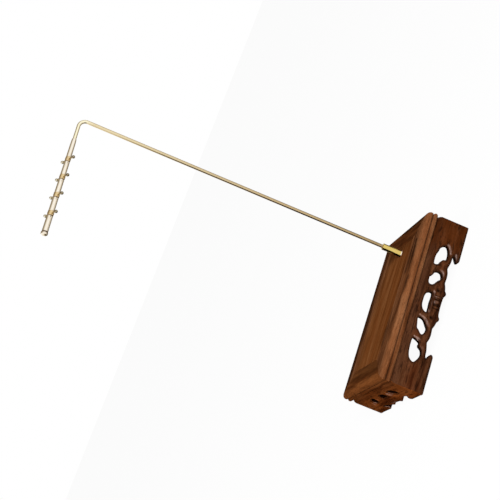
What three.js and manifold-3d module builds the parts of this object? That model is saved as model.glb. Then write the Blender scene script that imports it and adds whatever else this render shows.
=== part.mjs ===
// Brush hanging stand: a carved hardwood tray on bracket feet, and a bent brass post with four pairs of pegs.
// Millimetres, +Z up, origin on the table under the middle of the tray, X along the tray, front face at -Y.

import * as THREE from 'three'
import { mergeVertices } from 'three/addons/utils/BufferGeometryUtils.js'
import Module from 'manifold-3d'

const wasm = await Module()
wasm.setup()

// Tray
const TRAY_LENGTH = 172.6
const TRAY_DEPTH = 104.3
const APRON_HEIGHT = 32.2
const APRON_THICKNESS = 6
const SHOULDER_DROP = 4.4
const SHOULDER_DEPTH = 1.9
const ARRIS = 0.6
const JOINT_GAP = 0.3

// Top frame
const RAIL_WIDTH = 22.5
const RAIL_HEIGHT = 11.5
const OVERHANG = 0.4
const FRAME_LENGTH = TRAY_LENGTH + 2 * OVERHANG
const FRAME_DEPTH = TRAY_DEPTH + 2 * OVERHANG
const EDGE_RADIUS = 4.5
const EDGE_INSET = 0.5
const BEAD_RADIUS = 2.75
const BEAD_INSET = 0.1
const BEAD_HEIGHT = 5.1
const TONGUE_REACH = 4.5
const TONGUE_THICKNESS = 3
const PANEL_THICKNESS = 6.8

// Glue blocks inside the corners
const BLOCK_SIDE = 10
const BLOCK_HEIGHT = 26

// Post and its socket
const POST_MARGIN = 9.2
const POST_X = FRAME_LENGTH / 2 - RAIL_WIDTH - POST_MARGIN
const POST_Y = -5
const ROD_RADIUS = 1.7
const SLIP = 0.1
const FERRULE_RADIUS = 3.2
const FERRULE_HEIGHT = 20
const SOCKET_DEPTH = 18
const SPIGOT_RADIUS = 2.5
const SPIGOT_LENGTH = 6
const BEND_RADIUS = 6.5
const ARM_HEIGHT = 379.1
const ARM_DROOP = THREE.MathUtils.degToRad(5.9)
const BARE_ARM = 21.4

// Sleeve on the arm, with its cap and pegs
const SLEEVE_LENGTH = 96
const SLEEVE_NECK_RADIUS = 2.1
const SLEEVE_ROOT_RADIUS = 2.35
const SLEEVE_TIP_RADIUS = 3
const SHOULDER_LENGTH = 3.6
const ROD_ENGAGEMENT = 14
const ROD_END_GAP = 1
const CAP_LENGTH = 4.1
const CAP_RADIUS = 3.35
const CAP_GROOVE = 0.5
const CAP_STEM_RADIUS = 1
const CAP_STEM_LENGTH = 5
const PEG_TILT = THREE.MathUtils.degToRad(23.2)
const PEG_PITCH = 18.7
const PEG_FIRST = 21.9
const PEG_COUNT = 4
const PEG_RADIUS = 0.65
const PEG_REACH = 11.15
const PEG_FIT = 0.25
const BALL_RADIUS = 1.6

// Turned node of the sleeve at each peg: distance from the peg, and height over the taper.
const NODE_PROFILE = [
  [-3.3, 0], [-2.9, -0.25], [-2.5, 0.08], [-0.4, 0.24], [1.7, 0.08], [2.1, -0.35], [2.5, 0],
]

// Derived heights
const TOP = APRON_HEIGHT + RAIL_HEIGHT
const SOCKET_FLOOR = TOP + FERRULE_HEIGHT - SOCKET_DEPTH
const TONGUE_FLOOR = TOP - PANEL_THICKNESS

// Openwork of an apron: [distance from the middle, height above the table].
// Each run of the lower edge is one smooth stroke of the carver's saw; runs meet in a crisp point.
const LONG_APRON = {
  edge: [
    [[0, 6], [7, 5.8], [10.2, 5.2]],
    [[10.2, 5.2], [11.6, 4.2], [13, 3.9], [14.6, 4.4], [16.2, 5.7]],
    [[16.2, 5.7], [20, 6.5], [23.5, 7.9]],
    [[23.5, 7.9], [29, 7.5], [34, 7.9], [38, 9.3]],
    [[38, 9.3], [45.5, 7.6], [50.5, 7.3], [52.9, 6.1]],
    [[52.9, 6.1], [49.2, 4.2], [47.2, 2.6], [48, 0.8], [49.8, 0]],
  ],
  middle: [[0, 17], [4.4, 16.7], [9.6, 16.8], [10.4, 18.6], [8.8, 21.6], [5, 23.5], [0, 23.8]],
  right: [
    [[17.4, 21], [18.4, 23.2], [21.8, 23.9], [25.4, 23.7], [26.2, 22.1], [27.6, 21.2], [30.4, 20.2], [32.3, 17],
      [31.6, 14], [29.2, 12.6], [26.6, 12.2], [25, 13.2], [23.3, 15.2], [20, 17.2], [18.1, 19]],
    [[38.2, 22], [39.1, 23.5], [44, 23.8], [48, 23.4], [51, 22.3], [54.4, 21.6], [57.4, 20], [59.6, 17.2],
      [59.2, 14.6], [54.5, 12.4], [49, 11.9], [46, 13], [45.3, 15.4], [43.4, 17.3], [39.8, 18.9]],
  ],
  left: [
    [[17.2, 20.4], [17.3, 23.4], [19.4, 23.9], [23.4, 23.1], [27.6, 22.3], [28.6, 21.4], [29.3, 20.2], [31, 18.8],
      [32.5, 16.8], [31.6, 15.1], [28.6, 13.2], [25, 12.9], [22.8, 14.5], [20.4, 16], [18.1, 18]],
    [[38.4, 20.4], [38.2, 23], [41, 23.8], [47, 23.8], [53.4, 23.1], [57.6, 21.5], [60.1, 18.2], [59.6, 16.2],
      [56.5, 13.7], [52, 11.6], [48.6, 11.9], [46.2, 13.2], [44.9, 15.4], [42.8, 16.4], [40.6, 15.9]],
  ],
  scrolls: [
    { line: [[51, 9.7], [45.6, 10.5], [40.8, 13.6], [37, 18.2], [36.2, 22.8]], width: 3.2 },
    { line: [[28, 9.9], [23.6, 11], [18.6, 14.4], [15.2, 19], [14.6, 23]], width: 2.8 },
    { line: [[54, 10.1], [58.8, 11.6], [61.8, 14.6], [62.3, 18], [60.8, 21]], width: 2.2 },
  ],
  band: { line: [[-12.6, 14.6], [-8, 14.9], [0, 15.1], [8, 14.9], [12.6, 14.6]], width: 2.8 },
  ribs: { low: 7.2, high: 13.8, columns: [[-3.2, 2.6], [2.1, 4.8], [7.2, 2.2]] },
  eye: [13.9, 12.2],
}

const SHORT_OPENINGS = [
  [[17.2, 20.6], [18.8, 22.5], [23, 22.8], [27, 21], [29.6, 17.9], [28.6, 15.4], [25.6, 14.5], [22.2, 15.4],
    [19, 17.4]],
]

const SHORT_APRON = {
  edge: [
    [[0, 4.8], [4, 4.6], [7, 4.1]],
    [[7, 4.1], [8.4, 3], [9.8, 2.7], [11.2, 3.3]],
    [[11.2, 3.3], [15, 4.5], [19, 5.8]],
    [[19, 5.8], [22.5, 7.2], [26, 7.3], [28, 6.4]],
    [[28, 6.4], [25.8, 4.6], [24.5, 2.7], [25.1, 0.8], [26.8, 0]],
  ],
  middle: [[0, 16.4], [4, 16.6], [6.6, 16.2], [7.4, 17.6], [5.6, 20.9], [3, 22.3], [0, 22.7]],
  right: SHORT_OPENINGS,
  left: SHORT_OPENINGS,
  scrolls: [
    { line: [[27, 10.2], [22.6, 11.2], [18, 14.4], [14.4, 18.2], [13.6, 22.2]], width: 2.8 },
  ],
  band: { line: [[-9, 13.4], [-5, 13.8], [0, 14], [5, 13.8], [9, 13.4]], width: 2.3 },
  ribs: { low: 6, high: 12.4, columns: [[-3, 1.9], [0, 1.9], [3, 1.9]] },
  eye: [10.4, 10.4],
}

const CURVE_STEPS = 2
const RELIEF_HEIGHT = 0.9
const RELIEF_ROOT = 0.8
const RELIEF_BEVEL = 0.45
const RELIEF_POINT = 0.6
const EYE_RADIUS = 1.1
const EYE_DEPTH = 1.6

const WOOD = { color: 0x5b2d19, roughness: 0.42, metalness: 0 }
const PANEL_WOOD = { color: 0x6a3d20, roughness: 0.38, metalness: 0 }
const HIDDEN_WOOD = { color: 0x7a5233, roughness: 0.7, metalness: 0 }
const BRASS = { color: 0xd8bd6a, roughness: 0.28, metalness: 1 }
const PALE_BRASS = { color: 0xe6d9ae, roughness: 0.22, metalness: 1 }

const group = new THREE.Group()
group.name = 'brush_hanging_stand'

function add(name, geometry, finish) {
  const mesh = new THREE.Mesh(geometry, new THREE.MeshStandardMaterial(finish))
  mesh.name = name
  group.add(mesh)
}

// Solids for the booleans: welded positions only.
function solid(geometry) {
  const plain = geometry.clone()
  plain.deleteAttribute('normal')
  plain.deleteAttribute('uv')
  const welded = mergeVertices(plain, 1e-4)
  return new wasm.Manifold(new wasm.Mesh({
    numProp: 3,
    vertProperties: new Float32Array(welded.attributes.position.array),
    triVerts: new Uint32Array(welded.index.array),
  }))
}

function geometryOf(manifold) {
  const mesh = manifold.getMesh()
  const geometry = new THREE.BufferGeometry()
  geometry.setAttribute('position', new THREE.BufferAttribute(new Float32Array(mesh.vertProperties), 3))
  geometry.setIndex(new THREE.BufferAttribute(new Uint32Array(mesh.triVerts), 1))
  geometry.computeVertexNormals()
  return geometry
}

function box(sx, sy, sz, x, y, z) {
  return new THREE.BoxGeometry(sx, sy, sz).translate(x, y, z)
}

// Upright cylinder from one height to another.
function cylinder(radius, low, high, x, y, sides = 24) {
  const geometry = new THREE.CylinderGeometry(radius, radius, high - low, sides)
  return geometry.rotateX(Math.PI / 2).translate(x, y, (low + high) / 2)
}

function shapeOf(points) {
  return new THREE.Shape(points.map(([x, y]) => new THREE.Vector2(x, y)))
}

// Smooth stroke through a run of points, without its last point.
function stroke(points, steps = CURVE_STEPS) {
  const curve = new THREE.SplineCurve(points.map(([x, y]) => new THREE.Vector2(x, y)))
  return curve.getPoints(steps * (points.length - 1)).slice(0, -1).map((p) => [p.x, p.y])
}

function mirrored(points) {
  return points.map(([x, y]) => [-x, y]).reverse()
}

// Closed smooth outline through points.
function closedCurve(points, steps = CURVE_STEPS) {
  const curve = new THREE.CatmullRomCurve3(
    points.map(([x, y]) => new THREE.Vector3(x, y, 0)), true, 'catmullrom', 0.5)
  return curve.getPoints(steps * points.length).slice(0, -1).map((p) => [p.x, p.y])
}

// Plan wedge of one side, its ends cut at 45 degrees and drawn back for the mitre joint.
function mitreWedge(length, depth, reach) {
  const out = 5
  const back = JOINT_GAP / Math.SQRT2
  const outer = length / 2 - back + out
  const inner = length / 2 - back - reach
  const plan = shapeOf([
    [-outer, -depth / 2 - out],
    [outer, -depth / 2 - out],
    [inner, -depth / 2 + reach],
    [-inner, -depth / 2 + reach],
  ])
  return new THREE.ExtrudeGeometry(plan, { depth: TOP + 20, bevelEnabled: false }).translate(0, 0, -10)
}

// Section of a rail: distance in from its outer face, and height above its underside.
// A rounded edge turns under into a quirk, and a flat bead fills the rest down to the apron.
function railSection() {
  const tongue = [TONGUE_FLOOR - JOINT_GAP, TONGUE_FLOOR + TONGUE_THICKNESS + JOINT_GAP]
  const [low, high] = tongue.map((z) => z - APRON_HEIGHT)
  const groove = RAIL_WIDTH - TONGUE_REACH - JOINT_GAP
  const edge = RAIL_HEIGHT - EDGE_RADIUS
  const under = Math.asin((edge - BEAD_HEIGHT) / EDGE_RADIUS)
  const swell = Math.asin(BEAD_HEIGHT / 2 / BEAD_RADIUS)
  const bead = BEAD_INSET + BEAD_RADIUS
  const section = new THREE.Shape()
  section.moveTo(RAIL_WIDTH, 0)
  section.lineTo(RAIL_WIDTH, low)
  section.lineTo(groove, low)
  section.lineTo(groove, high)
  section.lineTo(RAIL_WIDTH, high)
  section.lineTo(RAIL_WIDTH, RAIL_HEIGHT)
  section.absarc(EDGE_INSET + EDGE_RADIUS, edge, EDGE_RADIUS, Math.PI / 2, Math.PI + under, false)
  section.absarc(bead, BEAD_HEIGHT / 2, BEAD_RADIUS, Math.PI - swell, Math.PI + swell, false)
  return section
}

// Turns an extruded section so that it runs along the front side, from a height up.
function alongSide(extrusion, length, depth, height) {
  const turn = new THREE.Matrix4().makeBasis(
    new THREE.Vector3(0, 1, 0), new THREE.Vector3(0, 0, 1), new THREE.Vector3(1, 0, 0))
  return extrusion.applyMatrix4(turn).translate(-length / 2, -depth / 2, height)
}

// Frame: two long and two short rails, mitred at the corners.
function rail(length, depth) {
  const extrusion = new THREE.ExtrudeGeometry(railSection(), {
    depth: length, bevelEnabled: false, curveSegments: 8,
  })
  const moulding = alongSide(extrusion, length, depth, APRON_HEIGHT)
  return geometryOf(solid(moulding).intersect(solid(mitreWedge(length, depth, RAIL_WIDTH + 1))))
}

const HALF_TURN = Math.PI
const QUARTER_TURN = Math.PI / 2

function addSides(suffix, long, short, finish) {
  add(`front_${suffix}`, long.clone(), finish)
  add(`rear_${suffix}`, long.clone().rotateZ(HALF_TURN), finish)
  add(`right_${suffix}`, short.clone().rotateZ(QUARTER_TURN), finish)
  add(`left_${suffix}`, short.clone().rotateZ(-QUARTER_TURN), finish)
}

// Floating panel: flush with the frame, its tongue in the rails' grooves, bored for the ferrule.
function panel() {
  const length = FRAME_LENGTH - 2 * RAIL_WIDTH - 2 * JOINT_GAP
  const depth = FRAME_DEPTH - 2 * RAIL_WIDTH - 2 * JOINT_GAP
  const reach = 2 * (TONGUE_REACH + JOINT_GAP)
  const field = box(length, depth, PANEL_THICKNESS, 0, 0, TOP - PANEL_THICKNESS / 2)
  const tongue = box(length + reach, depth + reach, TONGUE_THICKNESS, 0, 0, TONGUE_FLOOR + TONGUE_THICKNESS / 2)
  const bore = cylinder(SPIGOT_RADIUS + JOINT_GAP, TONGUE_FLOOR - 1, TOP + 1, POST_X, POST_Y)
  return geometryOf(solid(field).add(solid(tongue)).subtract(solid(bore)))
}

// Crescent of carved relief along a centre line, widest in the middle and pointed at both ends.
function crescent(line, width) {
  const curve = new THREE.SplineCurve(line.map(([x, y]) => new THREE.Vector2(x, y)))
  const count = 2 * (line.length - 1)
  const left = []
  const right = []
  for (let i = 0; i <= count; i += 1) {
    const t = i / count
    const point = curve.getPointAt(t)
    const along = curve.getTangentAt(t)
    const half = RELIEF_POINT + (width / 2 - RELIEF_POINT) * Math.sin(Math.PI * t)
    left.push([point.x - along.y * half, point.y + along.x * half])
    right.push([point.x + along.y * half, point.y - along.x * half])
  }
  return shapeOf([...right, ...left.reverse()])
}

// Relief stands on the outer face and is rooted a little below it.
function relief(shape) {
  const geometry = new THREE.ExtrudeGeometry(shape, {
    depth: RELIEF_ROOT + RELIEF_HEIGHT - RELIEF_BEVEL,
    bevelThickness: RELIEF_BEVEL,
    bevelSize: RELIEF_BEVEL,
    bevelOffset: -RELIEF_BEVEL,
    bevelSegments: 1,
  })
  return solid(geometry.translate(0, 0, APRON_THICKNESS - RELIEF_ROOT))
}

function rectangle(x, low, high, width) {
  return shapeOf([[x - width / 2, low], [x + width / 2, low], [x + width / 2, high], [x - width / 2, high]])
}

function flip(points) {
  return points.map(([x, y]) => [-x, y])
}

// Space an apron may fill, from its outer face in: the top is eased back in a rounded shoulder.
function shoulder(length, depth) {
  const proud = 3
  const section = shapeOf([
    [-proud, -1],
    [APRON_THICKNESS + 1, -1],
    [APRON_THICKNESS + 1, APRON_HEIGHT],
    [SHOULDER_DEPTH, APRON_HEIGHT],
    [SHOULDER_DEPTH / 2, APRON_HEIGHT - SHOULDER_DROP * 0.3],
    [SHOULDER_DEPTH / 6, APRON_HEIGHT - SHOULDER_DROP * 0.6],
    [0, APRON_HEIGHT - SHOULDER_DROP],
    [-proud, APRON_HEIGHT - SHOULDER_DROP - proud],
  ])
  return alongSide(new THREE.ExtrudeGeometry(section, { depth: length, bevelEnabled: false }), length, depth, 0)
}

// Apron: sawn outline with openwork, softened arrises, carved scrolls and a ribbed knot in the middle.
function apron(length, depth, carving) {
  const end = length / 2 + 2
  const half = carving.edge.flatMap((run) => stroke(run))
  const foot = carving.edge.at(-1).at(-1)
  const right = [...half, foot, [end, 0], [end, APRON_HEIGHT]]
  const outline = shapeOf([...right, ...mirrored(right.slice(1))])
  const middle = closedCurve([...carving.middle, ...mirrored(carving.middle.slice(1, -1))])
  const rightSide = carving.right.map((opening) => closedCurve(opening))
  const leftSide = carving.left.map((opening) => mirrored(closedCurve(opening)))
  const openings = [middle, ...rightSide, ...leftSide]
  outline.holes = openings.map((points) => new THREE.Path(points.map(([x, y]) => new THREE.Vector2(x, y))))

  const board = new THREE.ExtrudeGeometry(outline, {
    depth: APRON_THICKNESS - 2 * ARRIS,
    bevelThickness: ARRIS,
    bevelSize: ARRIS,
    bevelOffset: -ARRIS,
    bevelSegments: 1,
  }).translate(0, 0, ARRIS)
  let body = solid(board)
  for (const { line, width } of carving.scrolls) {
    body = body.add(relief(crescent(line, width)))
    body = body.add(relief(crescent(flip(line), width)))
  }
  body = body.add(relief(crescent(carving.band.line, carving.band.width)))
  for (const [x, width] of carving.ribs.columns) {
    body = body.add(relief(rectangle(x, carving.ribs.low, carving.ribs.high, width)))
  }
  for (const side of [-1, 1]) {
    const [x, z] = carving.eye
    const drill = cylinder(EYE_RADIUS, APRON_THICKNESS - EYE_DEPTH, APRON_THICKNESS + 1, side * x, z, 10)
    body = body.subtract(solid(drill))
  }
  const turn = new THREE.Matrix4().makeBasis(
    new THREE.Vector3(1, 0, 0), new THREE.Vector3(0, 0, 1), new THREE.Vector3(0, -1, 0))
  const placed = geometryOf(body).applyMatrix4(turn).translate(0, -depth / 2 + APRON_THICKNESS, 0)
  const wedge = solid(mitreWedge(length, depth, APRON_THICKNESS + 1))
  return geometryOf(solid(placed).intersect(wedge).intersect(solid(shoulder(length, depth))))
}

// Glue block in each inside corner, up against the rails.
function addBlocks() {
  const x = TRAY_LENGTH / 2 - APRON_THICKNESS - BLOCK_SIDE / 2
  const y = TRAY_DEPTH / 2 - APRON_THICKNESS - BLOCK_SIDE / 2
  const z = APRON_HEIGHT - BLOCK_HEIGHT / 2
  const corners = { front_left: [-1, -1], front_right: [1, -1], rear_left: [-1, 1], rear_right: [1, 1] }
  for (const [name, [sx, sy]] of Object.entries(corners)) {
    add(`corner_block_${name}`, box(BLOCK_SIDE, BLOCK_SIDE, BLOCK_HEIGHT, sx * x, sy * y, z), HIDDEN_WOOD)
  }
}

// Turned solid about local Z, from a profile of [radius, height].
function turned(profile, sides = 24) {
  const lathe = new THREE.LatheGeometry(profile.map(([r, z]) => new THREE.Vector2(r, z)), sides)
  return lathe.rotateX(Math.PI / 2)
}

// Ferrule: shouldered brass socket, its spigot down in the panel's bore.
function ferrule() {
  const lip = 0.4
  const floor = FERRULE_HEIGHT - SOCKET_DEPTH
  const profile = [
    [0, -SPIGOT_LENGTH],
    [SPIGOT_RADIUS, -SPIGOT_LENGTH],
    [SPIGOT_RADIUS, 0],
    [FERRULE_RADIUS, 0],
    [FERRULE_RADIUS, FERRULE_HEIGHT - lip],
    [FERRULE_RADIUS - lip, FERRULE_HEIGHT],
    [ROD_RADIUS + SLIP, FERRULE_HEIGHT],
    [ROD_RADIUS + SLIP, floor],
    [0, floor],
  ]
  return turned(profile).translate(POST_X, POST_Y, TOP)
}

// Path given ring by ring, so that straight runs take no extra rings.
class StationPath extends THREE.Curve {
  constructor(stations) {
    super()
    this.stations = stations
  }

  station(u) {
    return this.stations[Math.round(u * (this.stations.length - 1))]
  }

  getPointAt(u) {
    return this.station(u).point.clone()
  }

  getTangentAt(u) {
    return this.station(u).along.clone()
  }
}

// The arm leaves the post's axis at ARM_HEIGHT and falls gently towards its tip.
const ARM_TOP = new THREE.Vector3(POST_X, POST_Y, ARM_HEIGHT)
const ARM_ALONG = new THREE.Vector3(-Math.cos(ARM_DROOP), 0, -Math.sin(ARM_DROOP))

function postRod() {
  const up = new THREE.Vector3(0, 0, 1)
  const sweep = Math.PI / 2 + ARM_DROOP
  const setback = BEND_RADIUS * Math.tan(sweep / 2)
  const centre = new THREE.Vector3(POST_X - BEND_RADIUS, POST_Y, ARM_HEIGHT - setback)
  const stations = [{ point: new THREE.Vector3(POST_X, POST_Y, SOCKET_FLOOR), along: up }]
  const bendSteps = 10
  for (let i = 0; i <= bendSteps; i += 1) {
    const angle = sweep * i / bendSteps
    const out = new THREE.Vector3(Math.cos(angle), 0, Math.sin(angle))
    stations.push({
      point: centre.clone().addScaledVector(out, BEND_RADIUS),
      along: new THREE.Vector3(-Math.sin(angle), 0, Math.cos(angle)),
    })
  }
  const reach = BARE_ARM + ROD_ENGAGEMENT
  stations.push({ point: ARM_TOP.clone().addScaledVector(ARM_ALONG, reach), along: ARM_ALONG })
  const section = new THREE.Shape().absarc(0, 0, ROD_RADIUS, 0, 2 * Math.PI, false)
  return new THREE.ExtrudeGeometry(section, {
    steps: stations.length - 1,
    extrudePath: new StationPath(stations),
    curveSegments: 20,
    bevelEnabled: false,
  })
}

// Local frame of the sleeve: Z along the arm from the sleeve's root, Y out along the front pegs.
function armFrame() {
  const level = new THREE.Vector3(0, -1, 0)
  const upright = new THREE.Vector3().crossVectors(ARM_ALONG, level).normalize()
  if (upright.z < 0) upright.negate()
  const front = level.clone().multiplyScalar(Math.cos(PEG_TILT)).addScaledVector(upright, -Math.sin(PEG_TILT))
  const side = new THREE.Vector3().crossVectors(front, ARM_ALONG).normalize()
  const frame = new THREE.Matrix4().makeBasis(side, front, ARM_ALONG)
  return frame.setPosition(ARM_TOP.clone().addScaledVector(ARM_ALONG, BARE_ARM))
}

const ARM_FRAME = armFrame()

function pegStations() {
  return Array.from({ length: PEG_COUNT }, (_, i) => PEG_FIRST + PEG_PITCH * i)
}

function sleeveRadius(z) {
  const t = (z - SHOULDER_LENGTH) / (SLEEVE_LENGTH - SHOULDER_LENGTH)
  return SLEEVE_ROOT_RADIUS + (SLEEVE_TIP_RADIUS - SLEEVE_ROOT_RADIUS) * t
}

// Sleeve: tapered tube with a conical shoulder, a turned node at each peg, and a bore at both ends.
function sleeve() {
  const bore = ROD_RADIUS + SLIP
  const profile = [[0, ROD_ENGAGEMENT + ROD_END_GAP], [bore, ROD_ENGAGEMENT + ROD_END_GAP], [bore, 0]]
  profile.push([SLEEVE_NECK_RADIUS, 0], [SLEEVE_ROOT_RADIUS, SHOULDER_LENGTH])
  for (const peg of pegStations()) {
    for (const [offset, height] of NODE_PROFILE) {
      profile.push([sleeveRadius(peg + offset) + height, peg + offset])
    }
  }
  const stem = CAP_STEM_RADIUS + JOINT_GAP
  profile.push([SLEEVE_TIP_RADIUS, SLEEVE_LENGTH], [stem, SLEEVE_LENGTH])
  profile.push([stem, SLEEVE_LENGTH - CAP_STEM_LENGTH - JOINT_GAP])
  profile.push([0, SLEEVE_LENGTH - CAP_STEM_LENGTH - JOINT_GAP])
  let tube = solid(turned(profile, 20))
  for (const z of pegStations()) {
    const hole = new THREE.CylinderGeometry(PEG_RADIUS + PEG_FIT, PEG_RADIUS + PEG_FIT, 12, 12)
    tube = tube.subtract(solid(hole.translate(0, 0, z)))
  }
  return geometryOf(tube).applyMatrix4(ARM_FRAME)
}

// Cap: domed, a hair wider than the sleeve, with a stem into its end.
function endCap() {
  const root = SLEEVE_LENGTH + CAP_GROOVE
  const straight = CAP_LENGTH * 0.45
  const dome = CAP_LENGTH - straight - CAP_GROOVE
  const profile = [
    [0, SLEEVE_LENGTH - CAP_STEM_LENGTH],
    [CAP_STEM_RADIUS, SLEEVE_LENGTH - CAP_STEM_LENGTH],
    [CAP_STEM_RADIUS, root],
    [CAP_RADIUS, root],
  ]
  const rings = 6
  for (let i = 0; i <= rings; i += 1) {
    const angle = Math.PI / 2 * i / rings
    profile.push([i === rings ? 0 : CAP_RADIUS * Math.cos(angle), root + straight + dome * Math.sin(angle)])
  }
  return turned(profile).applyMatrix4(ARM_FRAME)
}

// Peg: straight pin through the sleeve, its ends in sockets in the two balls.
function pegPin(z) {
  const length = 2 * (PEG_REACH - JOINT_GAP)
  return new THREE.CylinderGeometry(PEG_RADIUS, PEG_RADIUS, length, 10).translate(0, 0, z).applyMatrix4(ARM_FRAME)
}

function pegBall(z, side) {
  const socket = PEG_RADIUS + PEG_FIT
  const mouth = Math.asin(socket / BALL_RADIUS)
  const profile = [[0, 0], [socket, 0]]
  const rings = 8
  for (let i = 0; i <= rings; i += 1) {
    const angle = Math.PI - mouth - (Math.PI - mouth) * i / rings
    profile.push([i === rings ? 0 : BALL_RADIUS * Math.sin(angle), BALL_RADIUS * Math.cos(angle)])
  }
  const ball = turned(profile, 12)
  ball.rotateX(side > 0 ? -Math.PI / 2 : Math.PI / 2)
  return ball.translate(0, side * PEG_REACH, z).applyMatrix4(ARM_FRAME)
}

add('panel', panel(), PANEL_WOOD)
addSides('rail', rail(FRAME_LENGTH, FRAME_DEPTH), rail(FRAME_DEPTH, FRAME_LENGTH), WOOD)
addSides('apron', apron(TRAY_LENGTH, TRAY_DEPTH, LONG_APRON), apron(TRAY_DEPTH, TRAY_LENGTH, SHORT_APRON), WOOD)
addBlocks()
add('ferrule', ferrule(), BRASS)
add('post_rod', postRod(), BRASS)
add('arm_sleeve', sleeve(), PALE_BRASS)
add('end_cap', endCap(), PALE_BRASS)
pegStations().forEach((z, index) => {
  add(`peg_pin_${index + 1}`, pegPin(z), BRASS)
  add(`peg_ball_front_${index + 1}`, pegBall(z, 1), PALE_BRASS)
  add(`peg_ball_rear_${index + 1}`, pegBall(z, -1), PALE_BRASS)
})

export default group
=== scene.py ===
"""Looks of the brush hanging stand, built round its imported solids.

Metres, in the solids' own frame: origin on the table under the tray, X along the tray, Z up, front at -Y.
The sizes in the dataclasses are millimetres.
"""

import logging
import math
from dataclasses import dataclass
from enum import Enum
from typing import Any, Mapping, Optional, Sequence, Union

import bpy
import numpy as np
from mathutils import Matrix, Vector


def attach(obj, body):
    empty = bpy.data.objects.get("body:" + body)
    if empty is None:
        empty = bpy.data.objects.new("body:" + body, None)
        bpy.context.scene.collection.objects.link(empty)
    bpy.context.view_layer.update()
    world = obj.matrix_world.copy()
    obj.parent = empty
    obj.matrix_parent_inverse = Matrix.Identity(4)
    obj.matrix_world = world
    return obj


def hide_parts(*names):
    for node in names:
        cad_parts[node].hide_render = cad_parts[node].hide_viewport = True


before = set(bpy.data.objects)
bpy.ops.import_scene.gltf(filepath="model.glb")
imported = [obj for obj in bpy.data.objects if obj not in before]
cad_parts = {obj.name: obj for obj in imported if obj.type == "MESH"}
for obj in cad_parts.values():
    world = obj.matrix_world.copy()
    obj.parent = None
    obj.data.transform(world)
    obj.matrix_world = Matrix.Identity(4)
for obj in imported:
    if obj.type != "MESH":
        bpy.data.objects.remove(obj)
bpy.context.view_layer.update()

LOG = logging.getLogger("brush_stand")
MM = 0.001
SHARP = 32.0

Array = np.ndarray
Material = bpy.types.Material
Mesh = bpy.types.Mesh
Piece = bpy.types.Object
Pair = tuple[float, float]
Triple = tuple[float, float, float]
Colour = tuple[float, float, float]

# Colours painted in for light and shade: shade on wood, near-black shade on sawn walls, a highlight on wood,
# shade on brass and a highlight on brass. UNLIT is the dark of the cards.
PAINTED_SHADE_WOOD = (0.012, 0.005, 0.003)
PAINTED_HOLE_SHADE = (0.004, 0.0015, 0.001)
LIT_WOOD = (0.27, 0.14, 0.095)
PAINTED_SHADE_BRASS = (0.20, 0.095, 0.035)
PAINTED_HIGHLIGHT_BRASS = (1.0, 0.88, 0.78)
UNLIT = (0.004, 0.002, 0.001)


class Grain(Enum):
    """The axis, X, Y or Z, that the fibres of a board run along."""

    ALONG_TRAY = 0
    ACROSS_TRAY = 1
    UPRIGHT = 2


class Side(Enum):
    """The four sides of the tray, each with its turn about Z from the front."""

    FRONT = ("front", 0.0)
    REAR = ("rear", math.pi)
    RIGHT = ("right", math.pi / 2)
    LEFT = ("left", -math.pi / 2)

    @property
    def word(self) -> str:
        """Name of the side."""
        return self.value[0]

    @property
    def turn(self) -> float:
        """Turn about Z that carries the front to this side, in radians."""
        return self.value[1]

    @property
    def is_long(self) -> bool:
        """Whether the side runs along X."""
        return self in (Side.FRONT, Side.REAR)

    @property
    def outward(self) -> Array:
        """Direction out of the side."""
        return np.array([math.sin(self.turn), -math.cos(self.turn), 0.0])

    @property
    def along(self) -> Array:
        """Direction along the side, to the right when it is faced."""
        return np.array([math.cos(self.turn), math.sin(self.turn), 0.0])


class Term:
    """A shader value used in arithmetic; it wraps one output socket."""

    def __init__(self, graph: "Graph", socket: bpy.types.NodeSocket) -> None:
        """Keep the socket and the graph it belongs to."""
        self.graph = graph
        self.socket = socket

    def __add__(self, other: "Number") -> "Term":
        """Sum."""
        return self.graph.math("ADD", self, other)

    def __radd__(self, other: "Number") -> "Term":
        """Sum, number first."""
        return self.graph.math("ADD", other, self)

    def __sub__(self, other: "Number") -> "Term":
        """Difference."""
        return self.graph.math("SUBTRACT", self, other)

    def __rsub__(self, other: "Number") -> "Term":
        """Difference, number first."""
        return self.graph.math("SUBTRACT", other, self)

    def __mul__(self, other: "Number") -> "Term":
        """Product."""
        return self.graph.math("MULTIPLY", self, other)

    def __rmul__(self, other: "Number") -> "Term":
        """Product, number first."""
        return self.graph.math("MULTIPLY", other, self)

    def between(self, low: float, high: float) -> "Term":
        """Step smoothly from 0 at low to 1 at high."""
        return self.graph.term("ShaderNodeMapRange", {"interpolation_type": "SMOOTHSTEP"},
                               {"Value": self, "From Min": low, "From Max": high}, "Result")

    def sine(self) -> "Term":
        """Sine of the value in radians."""
        return self.graph.math("SINE", self)


Number = Union[Term, float]


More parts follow.
